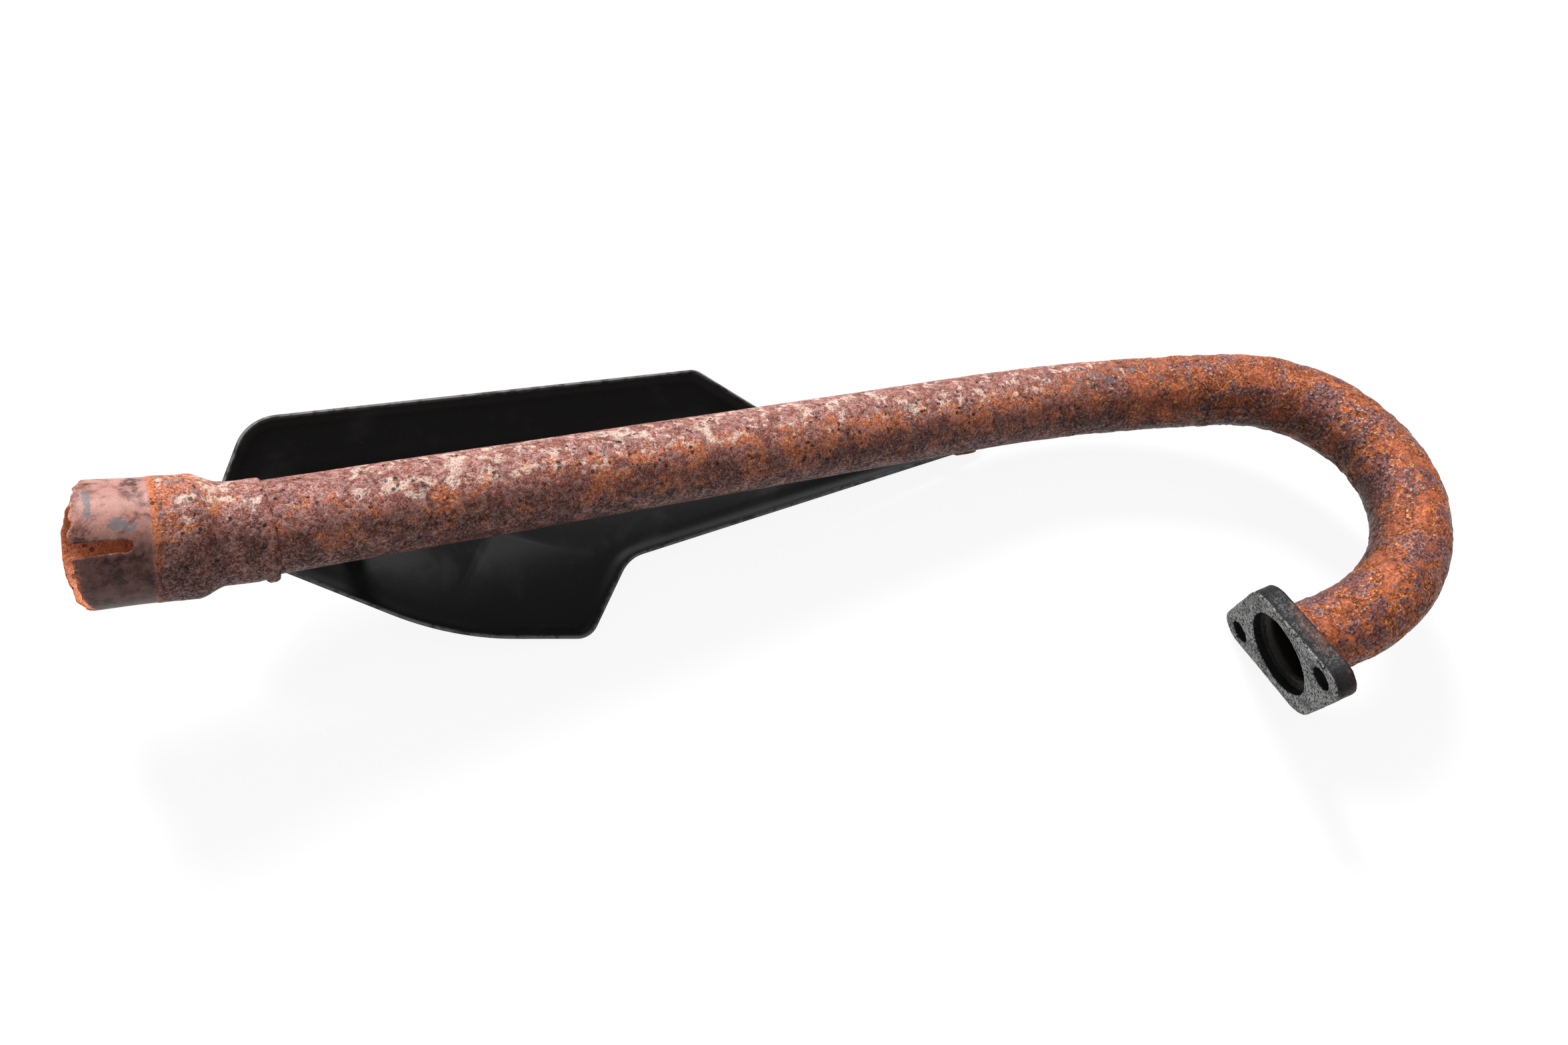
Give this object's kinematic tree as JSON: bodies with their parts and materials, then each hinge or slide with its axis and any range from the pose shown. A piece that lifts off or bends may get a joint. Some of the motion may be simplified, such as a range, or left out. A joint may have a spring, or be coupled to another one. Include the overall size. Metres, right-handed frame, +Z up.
{
  "type": "exhaust header pipe",
  "caption": "Rusted bent steel exhaust header pipe with a two-hole port flange, a slotted silencer socket and a black pressed heat shield under its straight run.",
  "frame": {"origin": "centre of the silencer socket's mouth", "axes": "+Z up with the pipe at rest on a level floor; the straight run heads along +X and dips 5.86 degrees; the return bend swings to -Y; the socket's mouth faces -X, 4.6 degrees out of line with the run"},
  "size_m": [0.472, 0.1992, 0.0787],
  "materials": {
    "rusted_tube": "mild steel tube under flaky orange, purple-brown and cream rust",
    "rusted_socket": "smooth mauve-brown rust film with an orange rim",
    "weld_bead": "rusted weld",
    "sooted_flange": "grey speckled gasket face and sooted dark edges",
    "black_shield": "black heat-proof paint, satin, with grey smudges",
    "rusted_saddle": "rusted strap",
    "dark_screw": "blackened screw with light rust"
  },
  "bodies": {
    "root": {"header_pipe": "rusted_tube", "silencer_socket": "rusted_socket", "neck_weld": "weld_bead", "port_flange": "sooted_flange", "flange_weld": "weld_bead", "heat_shield": "black_shield", "front_saddle": "rusted_saddle", "tail_saddle": "rusted_saddle", "front_screw": "dark_screw", "tail_screw": "dark_screw"}
  },
  "joints": []
}
